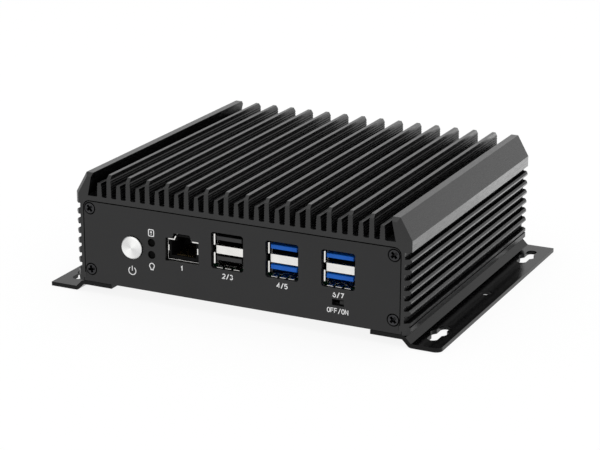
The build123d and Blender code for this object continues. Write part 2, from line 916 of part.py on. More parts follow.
# Power inlet on the back: a plastic body with a round socket and a centre pin
inlet_face = facing(inlet_x, 1).offset(inlet_proud)
with BuildPart() as power_inlet:
    with BuildSketch(inlet_face):
        with Locations((0, board_z + inlet_height / 2)):
            Rectangle(inlet_width, inlet_height)
    extrude(amount=-inlet_depth)
    with BuildSketch(inlet_face):
        with Locations((0, inlet_z)):
            Circle(inlet_bore_radius)
    extrude(amount=-inlet_bore_depth, mode=Mode.SUBTRACT)

with BuildPart() as power_inlet_pin:
    with BuildSketch(inlet_face.offset(-inlet_pin_recess)):
        with Locations((0, inlet_z)):
            Circle(inlet_pin_radius)
    extrude(amount=-(inlet_bore_depth - inlet_pin_recess))


def video_outline(grow):
    """Outline of a video port: a rectangle whose lower corners are cut off."""
    half = video_width / 2 + grow
    low = video_z - video_height / 2 - grow
    high = video_z + video_height / 2 + grow
    Polygon(
        [
            (-half, high),
            (half, high),
            (half, low + video_slope),
            (half - video_slope, low),
            (-half + video_slope, low),
            (-half, low + video_slope),
        ]
    )


def video_port(x):
    """Shell and insert of one video port on the back."""
    room = shell_sheet + insert_fit
    with BuildPart() as shell:
        with BuildSketch(facing(x, 1).offset(-video_recess)):
            video_outline(0)
        extrude(amount=-video_depth)
        with BuildSketch(facing(x, 1).offset(-video_recess)):
            video_outline(-shell_sheet)
        extrude(amount=-(video_depth - shell_sheet), mode=Mode.SUBTRACT)
        with BuildSketch(Plane.XY.offset(board_z)):
            skirt_start = back_y - board_front_d
            skirt_end = back_y - video_recess - video_depth
            for turn in (-1, 1):
                with Locations(
                    (x + turn * (video_width / 2 - shell_sheet / 2), (skirt_start + skirt_end) / 2)
                ):
                    Rectangle(shell_sheet, skirt_start - skirt_end)
        extrude(amount=video_foot + video_height / 2)
    with BuildPart() as insert:
        with BuildSketch(facing(x, 1).offset(-video_recess - video_mouth_depth)):
            video_outline(-room)
        extrude(amount=-(video_depth - video_mouth_depth - room))
        with BuildSketch(facing(x, 1).offset(-video_recess - video_tongue_recess)):
            with Locations((0, video_z)):
                Rectangle(video_tongue_width, video_tongue_thickness)
        extrude(amount=-(video_depth - video_tongue_recess - room))
    return shell.part, insert.part


left_video_shell, left_video_insert = video_port(video_x[0])
right_video_shell, right_video_insert = video_port(video_x[1])
first_network_shell, first_network_insert, first_network_contacts = modular_jack(rear_jack_x[0], 1)
second_network_shell, second_network_insert, second_network_contacts = modular_jack(
    rear_jack_x[1], 1
)

# Processor, thermal pad and the block that carries its heat up into the deck
lid_z = board_z + chip_base_thickness
pad_z = lid_z + chip_lid_thickness
block_z = pad_z + pad_thickness
with BuildPart() as processor:
    with BuildSketch(Plane.XY.offset(board_z)):
        with Locations((chip_x, chip_y)):
            Rectangle(chip_base, chip_base)
    extrude(amount=chip_base_thickness)
    with BuildSketch(Plane.XY.offset(lid_z)):
        with Locations((chip_x, chip_y)):
            Rectangle(chip_lid, chip_lid)
    extrude(amount=chip_lid_thickness)

with BuildPart() as thermal_pad:
    with BuildSketch(Plane.XY.offset(pad_z)):
        with Locations((chip_x, chip_y)):
            Rectangle(chip_lid, chip_lid)
    extrude(amount=pad_thickness)

with BuildPart() as heat_block:
    with BuildSketch(Plane.XY.offset(block_z)):
        with Locations((chip_x, chip_y)):
            Rectangle(block_width, block_depth)
    extrude(amount=ceiling_z - block_z)

# Memory module in its socket
card_z = board_z + card_lift
memory_socket_x = memory_x + memory_card_depth / 2
with BuildPart() as memory_socket:
    with BuildSketch(Plane.XY.offset(board_z)):
        with Locations((memory_socket_x, memory_y)):
            Rectangle(card_socket_depth, memory_card_width + 2 * card_arm_width)
        for turn in (-1, 1):
            with Locations(
                (
                    memory_socket_x - card_arm_length / 2,
                    memory_y + turn * (memory_card_width + card_arm_width + card_gap) / 2,
                )
            ):
                Rectangle(card_arm_length, card_arm_width - card_gap)
    extrude(amount=card_socket_height)
    with BuildSketch(Plane.XY.offset(card_z - seat_gap)):
        with Locations((memory_socket_x - card_socket_depth / 2, memory_y)):
            Rectangle(card_socket_depth, memory_card_width + card_gap)
    extrude(amount=memory_card_thickness + 2 * seat_gap, mode=Mode.SUBTRACT)

with BuildPart() as memory_module:
    with BuildSketch(Plane.XY.offset(card_z)):
        with Locations((memory_x - seat_gap, memory_y)):
            Rectangle(memory_card_depth, memory_card_width)
    extrude(amount=memory_card_thickness)
    with BuildSketch(Plane.XY.offset(card_z + memory_card_thickness)):
        with Locations((memory_x - chip_row_offset, memory_y)):
            with GridLocations(0, memory_chip_pitch, 1, memory_chip_count):
                Rectangle(memory_chip_width, memory_chip_length)
    extrude(amount=memory_chip_height)

# Storage card in its socket, its far end on a rest
drive_socket_y = drive_y - drive_length / 2
rest_y = drive_y + drive_length / 2
with BuildPart() as drive_socket:
    with BuildSketch(Plane.XY.offset(board_z)):
        with Locations((drive_x, drive_socket_y)):
            Rectangle(drive_width + card_arm_width, card_socket_depth)
    extrude(amount=card_socket_height)
    with BuildSketch(Plane.XY.offset(card_z - seat_gap)):
        with Locations((drive_x, drive_socket_y + card_socket_depth / 2)):
            Rectangle(drive_width + card_gap, card_socket_depth)
    extrude(amount=drive_thickness + 2 * seat_gap, mode=Mode.SUBTRACT)

with BuildPart() as drive_module:
    with BuildSketch(Plane.XY.offset(card_z)):
        with Locations((drive_x, drive_y + seat_gap)):
            Rectangle(drive_width, drive_length)
    extrude(amount=drive_thickness)
    with BuildSketch(Plane.XY.offset(card_z + drive_thickness)):
        with Locations((drive_x, drive_y)):
            with GridLocations(0, drive_chip_pitch, 1, drive_chip_count):
                Rectangle(drive_chip_width, drive_chip_length)
    extrude(amount=memory_chip_height)

with BuildPart() as drive_rest:
    with BuildSketch(Plane.XY.offset(board_z)):
        with Locations((drive_x, rest_y)):
            Rectangle(drive_width / 2, card_arm_width)
    extrude(amount=card_z - board_z)

os.makedirs("parts", exist_ok=True)
save(heatsink_case.part, "heatsink_case")
save(front_panel.part, "front_panel")
save(front_panel_screws, "front_panel_screws")
save(back_panel.part, "back_panel")
save(back_panel_screws, "back_panel_screws")
save(bottom_cover.part, "bottom_cover")
save(left_bracket, "left_bracket")
save(right_bracket, "right_bracket")
save(bracket_screws, "bracket_screws")
save(mainboard.part, "mainboard")
save(power_button.part, "power_button")
save(power_button_switch.part, "power_button_switch")
save(light_holder.part, "light_holder")
save(drive_light, "drive_light")
save(power_light, "power_light")
save(slide_switch_body.part, "slide_switch_body")
save(slide_switch_knob.part, "slide_switch_knob")
save(com_jack_shell, "com_jack_shell")
save(com_jack_insert, "com_jack_insert")
save(com_jack_contacts, "com_jack_contacts")
save(left_stack_shell, "left_stack_shell")
save(left_stack_insert, "left_stack_insert")
save(left_stack_contacts, "left_stack_contacts")
save(middle_stack_shell, "middle_stack_shell")
save(middle_stack_insert, "middle_stack_insert")
save(middle_stack_contacts, "middle_stack_contacts")
save(right_stack_shell, "right_stack_shell")
save(right_stack_insert, "right_stack_insert")
save(right_stack_contacts, "right_stack_contacts")
save(power_inlet.part, "power_inlet")
save(power_inlet_pin.part, "power_inlet_pin")
save(left_video_shell, "left_video_shell")
save(left_video_insert, "left_video_insert")
save(right_video_shell, "right_video_shell")
save(right_video_insert, "right_video_insert")
save(first_network_shell, "first_network_shell")
save(first_network_insert, "first_network_insert")
save(first_network_contacts, "first_network_contacts")
save(second_network_shell, "second_network_shell")
save(second_network_insert, "second_network_insert")
save(second_network_contacts, "second_network_contacts")
save(processor.part, "processor")
save(thermal_pad.part, "thermal_pad")
save(heat_block.part, "heat_block")
save(memory_socket.part, "memory_socket")
save(memory_module.part, "memory_module")
save(drive_socket.part, "drive_socket")
save(drive_module.part, "drive_module")
save(drive_rest.part, "drive_rest")
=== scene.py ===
import bpy
import json
import math
import bmesh
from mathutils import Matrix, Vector
from mathutils.geometry import tessellate_polygon


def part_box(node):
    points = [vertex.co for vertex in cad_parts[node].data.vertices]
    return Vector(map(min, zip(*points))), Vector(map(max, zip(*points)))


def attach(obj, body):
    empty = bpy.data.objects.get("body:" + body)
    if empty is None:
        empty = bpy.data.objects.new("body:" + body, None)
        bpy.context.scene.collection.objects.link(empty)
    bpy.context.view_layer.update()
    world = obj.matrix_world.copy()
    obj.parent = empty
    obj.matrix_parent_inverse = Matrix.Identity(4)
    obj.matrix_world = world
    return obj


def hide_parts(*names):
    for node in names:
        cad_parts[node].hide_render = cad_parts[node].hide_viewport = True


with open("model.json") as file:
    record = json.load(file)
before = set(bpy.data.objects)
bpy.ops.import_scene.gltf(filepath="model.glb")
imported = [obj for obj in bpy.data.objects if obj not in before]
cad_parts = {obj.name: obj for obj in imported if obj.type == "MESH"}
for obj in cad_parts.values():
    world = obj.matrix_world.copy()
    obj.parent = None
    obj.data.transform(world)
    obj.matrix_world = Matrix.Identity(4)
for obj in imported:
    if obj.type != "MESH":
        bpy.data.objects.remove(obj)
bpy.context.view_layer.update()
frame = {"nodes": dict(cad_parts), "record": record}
nodes = frame["nodes"]

# Shapes are drawn in millimetres in the part's own frame, and become metres in new_mesh.
# Materials, camera and lamps are in metres throughout.
MM = 0.001
X_AXIS, Y_AXIS, Z_AXIS = 0, 1, 2
FRONT_Y = -70.5
BUTTON = (-50.0, 23.75)


# ---------------------------------------------------------------- camera
CAMERA_PLACE = (0.35161, -0.74022, 0.28558)
CAMERA_DEGREES = (72.0712, -0.1601, 25.7555)
CAMERA_LENS = 115.51
CAMERA_SENSOR = 36.0

camera_data = bpy.data.cameras.new("camera")
camera_data.sensor_fit = "HORIZONTAL"
camera_data.sensor_width = CAMERA_SENSOR
camera_data.lens = CAMERA_LENS
camera_data.clip_start = 0.05
camera_data.clip_end = 50.0
camera = bpy.data.objects.new("camera", camera_data)
camera.location = CAMERA_PLACE
camera.rotation_euler = [math.radians(angle) for angle in CAMERA_DEGREES]
bpy.context.scene.collection.objects.link(camera)
bpy.context.scene.camera = camera
bpy.context.scene.view_settings.view_transform = "Standard"


# ---------------------------------------------------------------- materials
class Shader:
    """A small helper that builds one procedural material from nodes."""

    def __init__(self, name):
        self.material = bpy.data.materials.new(name)
        self.material.use_nodes = True
        self.tree = self.material.node_tree
        self.tree.nodes.clear()
        self.output = self.add("ShaderNodeOutputMaterial")
        self.surface = self.add("ShaderNodeBsdfPrincipled")
        self.link(self.surface.outputs["BSDF"], self.output.inputs["Surface"])
        self.place = self.add("ShaderNodeTexCoord").outputs["Object"]

    def add(self, kind, **values):
        node = self.tree.nodes.new(kind)
        for key, value in values.items():
            setattr(node, key, value)
        return node

    def link(self, a, b):
        self.tree.links.new(a, b)

    def feed(self, value, socket):
        """Links a socket's value, or writes a plain value on the socket itself."""
        if hasattr(value, "is_linked"):
            self.link(value, socket)
        else:
            socket.default_value = value

    def put(self, **values):
        """Feeds inputs of the surface, whose names are written with _ for a space."""
        for key, value in values.items():
            self.feed(value, self.surface.inputs[key.replace("_", " ")])

    def sums(self, operation, *values, clamp=False):
        node = self.add("ShaderNodeMath", operation=operation, use_clamp=clamp)
        for value, socket in zip(values, node.inputs):
            self.feed(value, socket)
        return node.outputs["Value"]

    def noise(self, scale, stretch=(1, 1, 1), detail=3.0, rough=0.55):
        mapping = self.add("ShaderNodeMapping")
        mapping.inputs["Scale"].default_value = stretch
        self.link(self.place, mapping.inputs["Vector"])
        noise = self.add("ShaderNodeTexNoise")
        noise.inputs["Scale"].default_value = scale
        noise.inputs["Detail"].default_value = detail
        noise.inputs["Roughness"].default_value = rough
        self.link(mapping.outputs["Vector"], noise.inputs["Vector"])
        return noise.outputs["Fac"]

    def ramp(self, value, low, high, start=0.3, end=0.7):
        """Goes from low to high while the value goes from start to end."""
        node = self.add("ShaderNodeMapRange")
        node.inputs["From Min"].default_value = start
        node.inputs["From Max"].default_value = end
        node.inputs["To Min"].default_value = low
        node.inputs["To Max"].default_value = high
        self.link(value, node.inputs["Value"])
        return node.outputs["Result"]

    def blend(self, factor, low, high):
        node = self.add("ShaderNodeMix", data_type="RGBA")
        self.link(factor, node.inputs["Factor"])
        for socket, colour in ((node.inputs["A"], low), (node.inputs["B"], high)):
            self.feed(colour if hasattr(colour, "is_linked") else (*colour, 1.0), socket)
        return node.outputs["Result"]

    def drift(self, noise, dark, light):
        """A colour that wanders between two shades."""
        return self.blend(self.ramp(noise, 0.0, 1.0), dark, light)

    def bevel(self, radius):
        node = self.add("ShaderNodeBevel", samples=4)
        node.inputs["Radius"].default_value = radius
        return node.outputs["Normal"]

    def edge(self, radius):
        """1 on edges and corners, 0 on flat ground."""
        dot = self.add("ShaderNodeVectorMath", operation="DOT_PRODUCT")
        self.link(self.bevel(radius), dot.inputs[0])
        self.link(self.add("ShaderNodeNewGeometry").outputs["Normal"], dot.inputs[1])
        return self.ramp(dot.outputs["Value"], 1.0, 0.0, start=0.82, end=0.99)

    def shelter(self, reach):
        """0 deep in a gap, 1 on open ground."""
        node = self.add("ShaderNodeAmbientOcclusion", samples=6)
        node.inputs["Distance"].default_value = reach
        return node.outputs["AO"]

    def bump(self, height, distance, strength, round_edges):
        node = self.add("ShaderNodeBump")
        node.inputs["Strength"].default_value = strength
        node.inputs["Distance"].default_value = distance
        self.link(height, node.inputs["Height"])
        if round_edges:
            self.link(self.bevel(round_edges), node.inputs["Normal"])
        self.link(node.outputs["Normal"], self.surface.inputs["Normal"])


def drawn_out(axis, share):
    """A noise stretch that turns grain into lines along one axis."""
    stretch = [1.0, 1.0, 1.0]
    stretch[axis] = share
    return stretch


def anodised(name, dark, light, wear, streak_axis, rough=(0.24, 0.36)):
    """Black anodised aluminium: long die lines, a fine grain, and dull gaps whose lost shine is
    painted shade.
    """
    shader = Shader(name)
    streaks = shader.noise(2200.0, drawn_out(streak_axis, 0.12))
    grain = shader.noise(4200.0, detail=2.0)
    patches = shader.noise(38.0, (1, 0.5, 1))
    edges = shader.edge(0.00030)
    base = shader.drift(patches, dark, light)
    # painted shade takes the shine out of the gaps, but faces that look partly up, such as the
    # grip ripples, keep their shine there
    facing = shader.add("ShaderNodeSeparateXYZ")
    normal = shader.add("ShaderNodeNewGeometry").outputs["True Normal"]
    shader.link(normal, facing.inputs["Vector"])
    tilted_middle, tilted_reach, tilted_share = 0.42, 0.26, 0.74
    tilted = shader.sums("COMPARE", facing.outputs["Z"], tilted_middle, tilted_reach)
    ridge = shader.sums("MULTIPLY", tilted, tilted_share)
    open_ground = shader.sums("MAXIMUM", shader.shelter(0.008), ridge)
    # edges keep it too, and no face shines more than plain open ground
    edge_shine, full_shine = 0.38, 0.5
    ground_shine = shader.ramp(open_ground, 0.0, full_shine, start=0.45, end=0.86)
    shine = shader.sums("MULTIPLY_ADD", edges, edge_shine, ground_shine, clamp=True)
    polished = shader.ramp(streaks, *rough)
    dull = shader.ramp(open_ground, 0.55, 0.0, start=0.40, end=0.72)
    shader.put(
        Base_Color=shader.blend(edges, base, wear),
        Specular_IOR_Level=shader.ramp(shine, 0.0, full_shine, start=0.0, end=full_shine),
        Roughness=shader.sums("ADD", polished, dull, clamp=True),
        Metallic=0.0,
    )
    height = shader.sums("ADD", streaks, grain)
    shader.bump(height, distance=0.000007, strength=0.5, round_edges=0.00014)
    return shader.material


def powder(name, dark, light, wear, rough=(0.32, 0.44), shine=0.5, depth=0.00002):
    """Fine matt powder coat: an even pebbled skin, thin on the edges."""
    shader = Shader(name)
    pebble = shader.noise(1500.0, detail=2.0, rough=0.5)
    base = shader.drift(shader.noise(30.0), dark, light)
    shader.put(
        Base_Color=shader.blend(shader.edge(0.00025), base, wear),
        Roughness=shader.ramp(pebble, *rough),
        Metallic=0.0,
        Specular_IOR_Level=shine,
    )
    shader.bump(pebble, depth, strength=0.7, round_edges=0.00015)
    return shader.material


def plated(name, dark, light, rough=(0.18, 0.34), scratch_axis=X_AXIS):
    """Nickel or zinc plate: bright, a little cloudy, with fine draw lines, and painted shade
    darkening it in gaps.
    """
    shader = Shader(name)
    lines = shader.noise(3500.0, drawn_out(scratch_axis, 0.03))
    cloud = shader.noise(260.0)
    # painted shade: sheltered spots turn to a near-black copy of the colour
    painted_shade_colour = [0.05 * value for value in dark]
    shade = shader.ramp(shader.shelter(0.003), 0.0, 1.0, start=0.08, end=0.42)
    shader.put(
        Base_Color=shader.blend(shade, painted_shade_colour, shader.drift(cloud, dark, light)),
        Roughness=shader.ramp(cloud, *rough),
        Metallic=1.0,
    )
    shader.bump(lines, distance=0.000008, strength=0.5, round_edges=0.00006)
    return shader.material


def moulded(
    name, dark, light, rough=(0.34, 0.46), grain_scale=2600.0,
    depth=0.000012, round_edges=0.0001, shine=0.5,
):
    """Moulded plastic or rubber: a fine spark-eroded grain and slight colour drift."""
    shader = Shader(name)
    grain = shader.noise(grain_scale, detail=2.0)
    shader.put(
        Base_Color=shader.drift(shader.noise(90.0, detail=2.0), dark, light),
        Roughness=shader.ramp(grain, *rough),
        Metallic=0.0,
        Specular_IOR_Level=shine,
    )
    shader.bump(grain, depth, strength=0.6, round_edges=round_edges)
    return shader.material


def spun(name, dark, light, centre, rough=(0.24, 0.36)):
    """Turned and brushed metal: rings round a centre, with two soft bright fans of painted
    highlight, and painted shade between them, in its colour.
    """
    fans, fan_turn = 2.0, -1.9
    ring_scale, ring_waver = 1900.0, 0.6
    shader = Shader(name)
    shift = shader.add("ShaderNodeMapping")
    shift.inputs["Location"].default_value = (-centre[0] * MM, 0.0, -centre[1] * MM)
    shader.link(shader.place, shift.inputs["Vector"])
    parts = shader.add("ShaderNodeSeparateXYZ")
    shader.link(shift.outputs["Vector"], parts.inputs["Vector"])
    angle = shader.sums("ARCTAN2", parts.outputs["Z"], parts.outputs["X"])
    # painted highlight: the colour turns light in two fans round the centre and dark between
    # them
    painted_highlight = shader.sums("COSINE", shader.sums("MULTIPLY_ADD", angle, fans, fan_turn))
    rings = shader.add("ShaderNodeTexWave", wave_type="RINGS", rings_direction="Y")
    rings.inputs["Scale"].default_value = ring_scale
    rings.inputs["Distortion"].default_value = ring_waver
    shader.link(shift.outputs["Vector"], rings.inputs["Vector"])
    shader.put(
        Base_Color=shader.blend(shader.ramp(painted_highlight, 0.0, 1.0, start=-0.9, end=1.0), dark, light),
        Roughness=shader.ramp(rings.outputs["Fac"], *rough),
        Metallic=1.0,
    )
    shader.bump(rings.outputs["Fac"], distance=0.000006, strength=0.5, round_edges=0.0003)
    return shader.material


# dark and light are the shades that a skin wanders between, wear is the colour of its edges
RECIPES = {
    "case_black": (anodised, dict(
        dark=(0.0022, 0.0022, 0.0024), light=(0.0040, 0.0040, 0.0043),
        wear=(0.012, 0.012, 0.013), streak_axis=Y_AXIS)),
    "panel_black": (powder, dict(
        dark=(0.0030, 0.0030, 0.0034), light=(0.0050, 0.0050, 0.0055),
        wear=(0.014, 0.014, 0.014), shine=0.42)),
    "bracket_black": (powder, dict(
        dark=(0.0012, 0.0012, 0.0013), light=(0.0023, 0.0023, 0.0025),
        wear=(0.010, 0.010, 0.010), rough=(0.12, 0.18), shine=0.17, depth=0.000006)),
    "cover_black": (powder, dict(
        dark=(0.0030, 0.0030, 0.0033), light=(0.0050, 0.0050, 0.0054),
        wear=(0.014, 0.014, 0.014))),
    "screw_black": (plated, dict(
        dark=(0.035, 0.035, 0.037), light=(0.055, 0.055, 0.057), rough=(0.34, 0.44))),
    # for the button, dark and light are its painted shade and painted highlight
    "button_silver": (spun, dict(
        dark=(0.70, 0.70, 0.70), light=(0.95, 0.95, 0.94), centre=BUTTON)),
    "switch_black": (moulded, dict(
        dark=(0.002, 0.002, 0.002), light=(0.004, 0.004, 0.004), shine=0.25)),
    "switch_grey": (moulded, dict(
        dark=(0.012, 0.012, 0.012), light=(0.020, 0.020, 0.020), shine=0.3)),
    "lens_dark": (moulded, dict(
        dark=(0.0006, 0.0006, 0.0006), light=(0.001, 0.001, 0.001), rough=(0.5, 0.6),
        grain_scale=900.0, depth=0.000002, shine=0.05)),
    "shell_silver": (plated, dict(
        dark=(0.76, 0.75, 0.73), light=(0.84, 0.83, 0.80), rough=(0.22, 0.30))),
    "jack_black": (moulded, dict(
        dark=(0.0008, 0.0008, 0.0008), light=(0.002, 0.002, 0.002),
        rough=(0.6, 0.75), shine=0.12)),
    "port_grey": (moulded, dict(
        dark=(0.005, 0.005, 0.0055), light=(0.010, 0.010, 0.011))),
    "port_blue": (moulded, dict(
        dark=(0.001, 0.10, 0.52), light=(0.003, 0.15, 0.66), shine=0.3)),
    # near black, darker than the cores' port_grey slot: painted shade on the deep back of each
    # port
    "port_core_painted_shade": (moulded, dict(
        dark=(0.001, 0.001, 0.001), light=(0.002, 0.002, 0.002),
        rough=(0.6, 0.75), shine=0.12)),
    "contact_gold": (plated, dict(
        dark=(0.16, 0.11, 0.05), light=(0.24, 0.17, 0.08), rough=(0.3, 0.45))),
    "board_green": (moulded, dict(
        dark=(0.004, 0.045, 0.018), light=(0.007, 0.065, 0.027),
        rough=(0.22, 0.32), grain_scale=700.0)),
    "chip_grey": (plated, dict(
        dark=(0.42, 0.42, 0.43), light=(0.52, 0.52, 0.52), rough=(0.3, 0.45))),
    "pad_grey": (moulded, dict(
        dark=(0.22, 0.24, 0.27), light=(0.28, 0.30, 0.33),
        rough=(0.6, 0.75), grain_scale=1500.0)),
    "block_metal": (plated, dict(
        dark=(0.66, 0.66, 0.67), light=(0.78, 0.78, 0.78),
        rough=(0.28, 0.42), scratch_axis=Y_AXIS)),
    "socket_black": (moulded, dict(
        dark=(0.006, 0.006, 0.006), light=(0.012, 0.012, 0.012))),
    "ink": (moulded, dict(
        dark=(0.90, 0.90, 0.90), light=(0.96, 0.96, 0.96), rough=(0.5, 0.65),
        grain_scale=3000.0, depth=0.000004, round_edges=0.0)),
}
MATERIALS = {name: make(name, **values) for name, (make, values) in RECIPES.items()}
for entry in frame["record"]["subparts"]:
    mesh = nodes[entry["node"]].data
    mesh.materials.clear()
    mesh.materials.append(MATERIALS[entry["material_slot"]])


# ---------------------------------------------------------------- outlines and solids
def oval(centre, radii, start, end, steps):
    """Points on part of an ellipse, angles in degrees."""
    points = []
    for k in range(steps + 1):
        angle = math.radians(start + (end - start) * k / steps)
        points.append((
            centre[0] + radii[0] * math.cos(angle),
            centre[1] + radii[1] * math.sin(angle),
        ))
    return points


def arc(centre, radius, start, end, steps):
    return oval(centre, (radius, radius), start, end, steps)


def circle(centre, radius, count=48):
    return arc(centre, radius, 0, 360, count)[:-1]


def box_loop(low, high, corner=0.0):
    """A rectangle from its low and high corners, its own corners cut off if wished."""
    (x0, z0), (x1, z1) = low, high
    if not corner:
        return [(x0, z0), (x1, z0), (x1, z1), (x0, z1)]
    c = corner
    return [
        (x0 + c, z0), (x1 - c, z0), (x1, z0 + c), (x1, z1 - c),
        (x1 - c, z1), (x0 + c, z1), (x0, z1 - c), (x0, z0 + c),
    ]


def box_round(x, z, half_width, half_height):
    """A rectangle round its middle."""
    return box_loop((x - half_width, z - half_height), (x + half_width, z + half_height))


def left_half(points):
    """The right half of an outline turned over to the left, and drawn the other way."""
    return [(-x, z) for x, z in reversed(points)]


def mirrored(points):
    """Adds the left half of an outline drawn from its lowest middle up its right side."""
    return points + left_half(points)


def new_mesh(name, vertices, faces):
    mesh = bpy.data.meshes.new(name)
    mesh.from_pydata([Vector(v) * MM for v in vertices], [], faces)
    mesh.update()
    return mesh


def new_object(name, data):
    thing = bpy.data.objects.new(name, data)
    bpy.context.scene.collection.objects.link(thing)
    return thing


def new_piece(name, mesh, material):
    piece = new_object(name, mesh)
    mesh.materials.append(MATERIALS[material])
    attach(piece, "computer")
    return piece


class Solid:
    """Collects closed solids, each drawn as an outline with holes, into one piece."""

    def __init__(self):
        self.vertices = []
        self.faces = []

    def loop(self, points, level, axis=Y_AXIS):
        start = len(self.vertices)
        for a, b in points:
            point = [a, b]
            point.insert(axis, level)
            self.vertices.append(tuple(point))
        return list(range(start, len(self.vertices))), points

    def cap(self, *loops):
        ids = [k for indices, _ in loops for k in indices]
        flat = [[Vector((a, b, 0)) for a, b in points] for _, points in loops]
        for face in tessellate_polygon(flat):
            self.faces.append([ids[k] for k in face])

    def wall(self, near, far):
        a, b = near[0], far[0]
        for k in range(len(a)):
            n = (k + 1) % len(a)
            self.faces.append([a[k], a[n], b[n], b[k]])

    def prism(self, near, far, loops, far_loops=None, axis=Y_AXIS):
        """A plate between two levels of an axis, whose loops may differ at the far level."""
        fronts = [self.loop(points, near, axis) for points in loops]
        backs = [self.loop(points, far, axis) for points in (far_loops or loops)]
        self.cap(*fronts)
        self.cap(*backs)
        for front, back in zip(fronts, backs):
            self.wall(front, back)

    def mesh(self, name):
        """The mesh of all solids, with every face turned outwards."""
        mesh = new_mesh(name, self.vertices, self.faces)
        work = bmesh.new()
        work.from_mesh(mesh)
        bmesh.ops.recalc_face_normals(work, faces=work.faces)
        work.to_mesh(mesh)
        work.free()
        return mesh

    def finish(self, name, slot, material=None, stands_for=None):
        piece = new_piece(name, self.mesh(name), material or slot)
        if stands_for:
            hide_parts(stands_for)
        return piece


# ---------------------------------------------------------------- front panel
PANEL_BACK = -68.5
PANEL_RIGHT = [(74.5, 5.2), (74.5, 6.5), (73.25, 6.5), (73.25, 9.2), (73.65, 9.2)]
PANEL_RIGHT += arc((70.9, 38.65), 2.75, 0, 90, 10)
SCREW_X, SCREW_Z = 70.85, (10.8, 38.3)
SCREW_SPOTS = [(turn * SCREW_X, z) for turn in (-1, 1) for z in SCREW_Z]
SINK_RADIUS, SHANK_HOLE = 2.85, 1.6
BUTTON_HOLE = 5.2
LIGHTS, LIGHT_HOLE = ((-40.6, 27.15), (-40.6, 21.75)), 1.8
SWITCH_HOLE = ((43.78, 12.92), (49.18, 15.62))
BOARD_TOP = 20.7

# the jack's outline at a growth of 0
JACK_X, JACK_HALF = -25.95, 7.45
JACK_SHOULDER, JACK_TOP = 30.0, 32.4
JACK_NOTCH, JACK_SLOPE = 3.4, 1.2
JACK_GAP, JACK_GAP_BELOW = 0.6, 0.35

# the double ports: the middle of each, and the panel's cut-out round it
STACKS = {"left": -4.4, "middle": 21.0, "right": 46.4}
STACK_CUT_HALF, STACK_CUT_Z, STACK_CUT_CORNER = 7.55, (20.35, 36.3), 0.8


def at_jack(points):
    return [(JACK_X + x, z) for x, z in points]


def jack_loop(grow, grow_below=None):
    """The jack's outline, grown or shrunk, by another amount on its underside if wished."""
    low = BOARD_TOP - (grow if grow_below is None else grow_below)
    half, shoulder, top = JACK_HALF + grow, JACK_SHOULDER + grow, JACK_TOP + grow
    notch = JACK_NOTCH + grow * 0.6
    right = [(half, low), (half, shoulder), (notch + JACK_SLOPE, shoulder), (notch, top)]
    return at_jack(mirrored(right))


through = [circle(BUTTON, BUTTON_HOLE, 64)] + [circle(spot, LIGHT_HOLE, 40) for spot in LIGHTS]
through.append(box_loop(*SWITCH_HOLE))
through.append(jack_loop(JACK_GAP, JACK_GAP_BELOW))
for x in STACKS.values():
    low, high = STACK_CUT_Z
    through.append(box_loop(
        (x - STACK_CUT_HALF, low), (x + STACK_CUT_HALF, high), STACK_CUT_CORNER))
outline = [mirrored(PANEL_RIGHT)] + through
panel = Solid()
panel.prism(
    FRONT_Y, PANEL_BACK,
    outline + [circle(spot, SINK_RADIUS) for spot in SCREW_SPOTS],
    outline + [circle(spot, SHANK_HOLE) for spot in SCREW_SPOTS],
)
panel.finish("panel_sheet", "panel_black", stands_for="front_panel")


# ---------------------------------------------------------------- screws of both panels
SCREW_INSET = 0.05
SCREW_LENGTH, SHANK_RADIUS, HEAD_DEPTH = 9.0, 1.45, 1.9
CROSS_DEPTH = 1.7
# how far the cross's arms reach, and half their width
CROSS_MOUTH, CROSS_FLOOR = (1.65, 0.56), (1.2, 0.4)


def cross(centre, size, turn):
    reach, half = size
    points = []
    for quarter in range(4):
        for a, b in ((reach, -half), (reach, half), (half, half)):
            angle = math.radians(turn + quarter * 90)
            points.append((
                centre[0] + a * math.cos(angle) - b * math.sin(angle),
                centre[1] + a * math.sin(angle) + b * math.cos(angle),
            ))
    return points


def panel_screws(name, node, inward, head, turns):
    """Countersunk screws with a cross recess; inward is the way their shanks point."""
    face = inward * (FRONT_Y + SCREW_INSET)
    screws = Solid()
    for spot, turn in zip(SCREW_SPOTS, turns):
        rim = screws.loop(circle(spot, head, 40), face)
        mouth = screws.loop(cross(spot, CROSS_MOUTH, turn), face)
        floor = screws.loop(cross(spot, CROSS_FLOOR, turn), face + inward * CROSS_DEPTH)
        neck = screws.loop(circle(spot, SHANK_RADIUS, 40), face + inward * HEAD_DEPTH)
        tip = screws.loop(circle(spot, SHANK_RADIUS, 40), face + inward * SCREW_LENGTH)
        screws.cap(rim, mouth)
        screws.wall(mouth, floor)
        screws.cap(floor)
        screws.wall(rim, neck)
        screws.wall(neck, tip)
        screws.cap(tip)
    screws.finish(name, "screw_black", stands_for=node)


panel_screws("front_screws", "front_panel_screws", 1, 2.25, (12, 38, 44, 41))
panel_screws("back_screws", "back_panel_screws", -1, 2.5, (20, 65, 33, 8))


# ---------------------------------------------------------------- double ports
STACK_Z = 28.15
STACK_LOW, STACK_HIGH = 20.75, 35.55
SHELL_HALF, SHELL_WALL = (6.6, 7.4), 0.3
SHELL_MOUTH_Y, SHELL_END_Y, SHELL_BACK_Y = -66.6, -51.3, -51.0
BAR_HALF, BAR_Y = (6.25, 1.775), (-68.2, -66.4)
# flared rims at both sides of each mouth, as (x, y) from the port's middle
RIM = [(6.7, -68.2), (7.2, -68.6), (7.2, -68.3), (6.7, -67.9)]
RIM_ARM = [(6.3, -66.6), (6.75, -68.05), (6.95, -68.2), (6.6, -66.3)]
RIM_SPANS = ((STACK_LOW + 1.1, STACK_Z - 1.4), (STACK_Z + 1.9, STACK_HIGH - 0.7))
RIM_ARM_HEIGHT = 0.4
